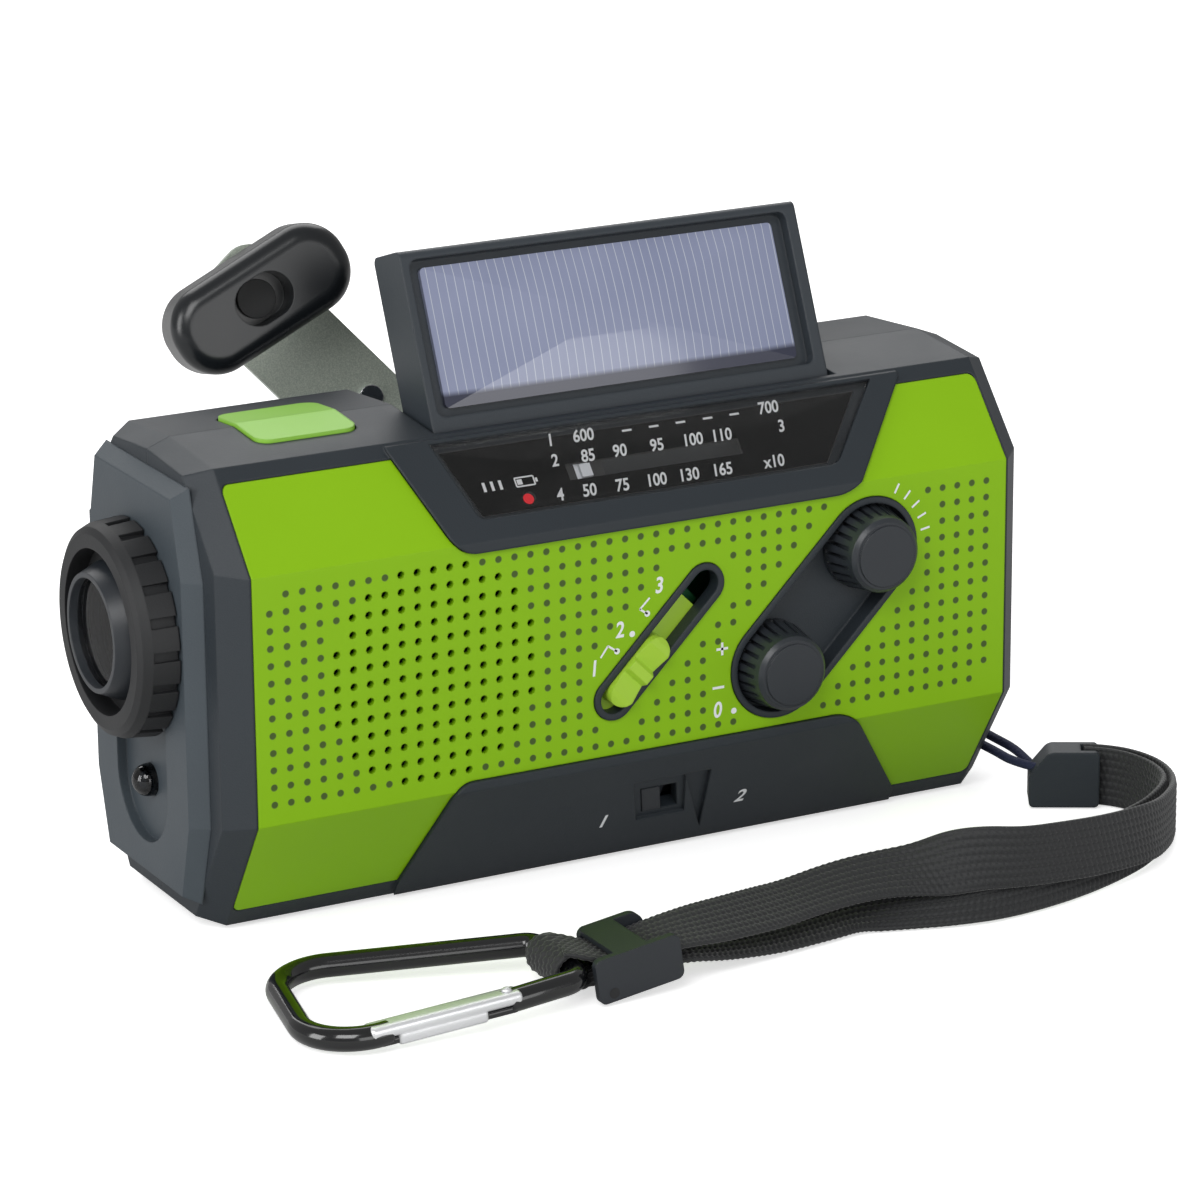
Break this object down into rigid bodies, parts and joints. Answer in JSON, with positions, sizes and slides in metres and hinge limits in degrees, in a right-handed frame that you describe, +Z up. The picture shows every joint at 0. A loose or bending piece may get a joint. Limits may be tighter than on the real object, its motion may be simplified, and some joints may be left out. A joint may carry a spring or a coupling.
{
  "type": "emergency radio",
  "caption": "Hand-crank emergency radio with a flip-up solar lid, sliding-rule dial, end torch, crank generator, telescopic aerial, and a wrist strap with a carabiner.",
  "frame": {"origin": "on the table under the middle of the case, at the level its rubber feet rest on", "axes": "+X along the case towards the strap end, +Y from the front panel to the crank side, +Z up"},
  "size_m": [0.1689, 0.126, 0.0999],
  "materials": {
    "case_grey": "fine matte texture",
    "case_green": "satin",
    "cap_grey": "matte",
    "clear_resin": "clear",
    "black_gloss": "gloss",
    "black_matte": "matte",
    "pointer_white": "matte",
    "button_green": "satin",
    "bright_steel": "polished",
    "steel": "plain",
    "speckled_metal": "fine speckle",
    "silicon": "gloss",
    "board_green": "solder mask",
    "nylon": "natural nylon",
    "ferrite": "matte",
    "cell_wrap": "wrap",
    "rubber": "matte",
    "cord_navy": "braided",
    "webbing": "woven",
    "brass": "plain"
  },
  "bodies": {
    "case": {"front_case": "case_grey", "rear_case": "case_grey", "front_panel": "case_green", "dial_window": "clear_resin", "dial_scale": "black_matte", "tuning_capacitor": "nylon", "volume_control": "steel", "selector_switch": "steel", "button_board": "board_green", "lid_hinge_pins": "steel", "end_cap": "cap_grey", "light_sensor": "clear_resin", "torch_board": "board_green", "speaker": "steel", "main_board": "board_green", "lithium_cell": "cell_wrap", "aaa_cells": "cell_wrap", "battery_contacts": "steel", "rubber_feet": "rubber", "generator": "steel", "gear_plate": "steel", "ferrite_aerial": "ferrite", "charge_board": "board_green", "screws": "steel", "strap_clip": "black_matte", "lanyard_cord": "cord_navy", "wrist_strap": "webbing", "strap_buckle": "black_gloss", "carabiner_ring": "black_gloss"},
    "lid": {"solar_lid": "cap_grey", "solar_cell": "silicon", "lid_back_plate": "cap_grey", "reading_lamp_lens": "clear_resin", "reading_lamp_board": "board_green"},
    "tuning": {"tuning_knob": "black_gloss"},
    "pointer": {"dial_pointer": "pointer_white"},
    "volume": {"volume_knob": "black_gloss"},
    "band": {"band_slider": "button_green"},
    "selector": {"battery_selector": "black_gloss"},
    "button": {"lamp_button": "button_green"},
    "torch": {"torch_head": "black_matte", "torch_bezel": "black_gloss", "torch_lens": "clear_resin", "torch_reflector": "bright_steel"},
    "crank": {"crank_hub": "black_matte", "crank_shaft": "steel", "crank_fold_pin": "steel", "drive_gear": "nylon"},
    "arm": {"crank_arm": "speckled_metal", "arm_rivet": "bright_steel", "grip_post": "steel"},
    "grip": {"crank_grip": "black_gloss"},
    "idler": {"idler_gear": "nylon"},
    "generator_rotor": {"generator_pinion": "nylon"},
    "door": {"battery_door": "case_grey"},
    "antenna": {"antenna_base": "bright_steel"},
    "antenna_second": {"antenna_middle": "bright_steel"},
    "antenna_third": {"antenna_tip": "bright_steel"},
    "cover": {"port_cover": "rubber"},
    "gate": {"carabiner_gate": "bright_steel"}
  },
  "joints": [
    {"name": "lid_hinge", "type": "hinge", "parent": "case", "child": "lid", "pos_m": [0, -0.0103, 0.0701], "axis": [1, 0, 0], "range_deg": [-67, 23]},
    {"name": "tuning_turn", "type": "hinge", "parent": "case", "child": "tuning", "pos_m": [0.04105, 0, 0.0488], "axis": [0, 1, 0], "range_deg": [-21, 259]},
    {"name": "pointer_slide", "type": "slide", "parent": "case", "child": "pointer", "axis": [1, 0, 0], "range_m": [-0.0021, 0.0259]},
    {"name": "volume_turn", "type": "hinge", "parent": "case", "child": "volume", "pos_m": [0.0241, 0, 0.0319], "axis": [0, 1, 0], "range_deg": [0, 300]},
    {"name": "band_slide", "type": "slide", "parent": "case", "child": "band", "axis": [0.7071, 0, 0.7071], "range_m": [-0.0014, 0.0126]},
    {"name": "selector_slide", "type": "slide", "parent": "case", "child": "selector", "axis": [1, 0, 0], "range_m": [0, 0.003]},
    {"name": "button_press", "type": "slide", "parent": "case", "child": "button", "axis": [0, 0, -1], "range_m": [0, 0.0008], "stiffness_N_per_m": 1500},
    {"name": "torch_twist", "type": "hinge", "parent": "case", "child": "torch", "pos_m": [-0.076, 0, 0.0461], "axis": [1, 0, 0], "range_deg": [0, 90]},
    {"name": "crank_turn", "type": "hinge", "parent": "case", "child": "crank", "pos_m": [0.0004, 0.03, 0.0452], "axis": [0, 1, 0], "continuous": true},
    {"name": "arm_fold", "type": "hinge", "parent": "crank", "child": "arm", "pos_m": [0.0004, 0.0337, 0.0452], "axis": [-0.757, 0, -0.6534], "range_deg": [0, 160]},
    {"name": "grip_turn", "type": "hinge", "parent": "arm", "child": "grip", "pos_m": [-0.03129, 0.04946, 0.08192], "axis": [0.2019, 0.9511, -0.2339], "continuous": true},
    {"name": "idler_turn", "type": "hinge", "parent": "case", "child": "idler", "pos_m": [0.01703, 0.014, 0.0356], "axis": [0, 1, 0], "continuous": true},
    {"name": "generator_turn", "type": "hinge", "parent": "case", "child": "generator_rotor", "pos_m": [0.03507, 0.014, 0.04217], "axis": [0, 1, 0], "continuous": true},
    {"name": "door_hinge", "type": "hinge", "parent": "case", "child": "door", "pos_m": [-0.02645, 0, 0.00155], "axis": [0, 1, 0], "range_deg": [0, 60]},
    {"name": "antenna_swivel", "type": "hinge", "parent": "case", "child": "antenna", "pos_m": [0.06, 0.0246, 0.0614], "axis": [0, 1, 0], "range_deg": [0, 90]},
    {"name": "antenna_second_slide", "type": "slide", "parent": "antenna", "child": "antenna_second", "axis": [-1, 0, 0], "range_m": [0, 0.07]},
    {"name": "antenna_third_slide", "type": "slide", "parent": "antenna_second", "child": "antenna_third", "axis": [-1, 0, 0], "range_m": [0, 0.07]},
    {"name": "cover_hinge", "type": "hinge", "parent": "case", "child": "cover", "pos_m": [0, 0.0276, 0.0199], "axis": [-1, 0, 0], "range_deg": [0, 100]},
    {"name": "gate_hinge", "type": "hinge", "parent": "case", "child": "gate", "pos_m": [-0.0685, -0.0713, 0.00267], "axis": [0, 0, 1], "range_deg": [0, 25], "stiffness_Nm_per_rad": 0.05, "springref_deg": -11.46}
  ],
  "couplings": [
    {"joint": "tuning_turn", "follows": "pointer_slide", "rad_per_m": 174.53},
    {"joint": "idler_turn", "follows": "crank_turn", "ratio": -3},
    {"joint": "generator_turn", "follows": "crank_turn", "ratio": 9}
  ]
}
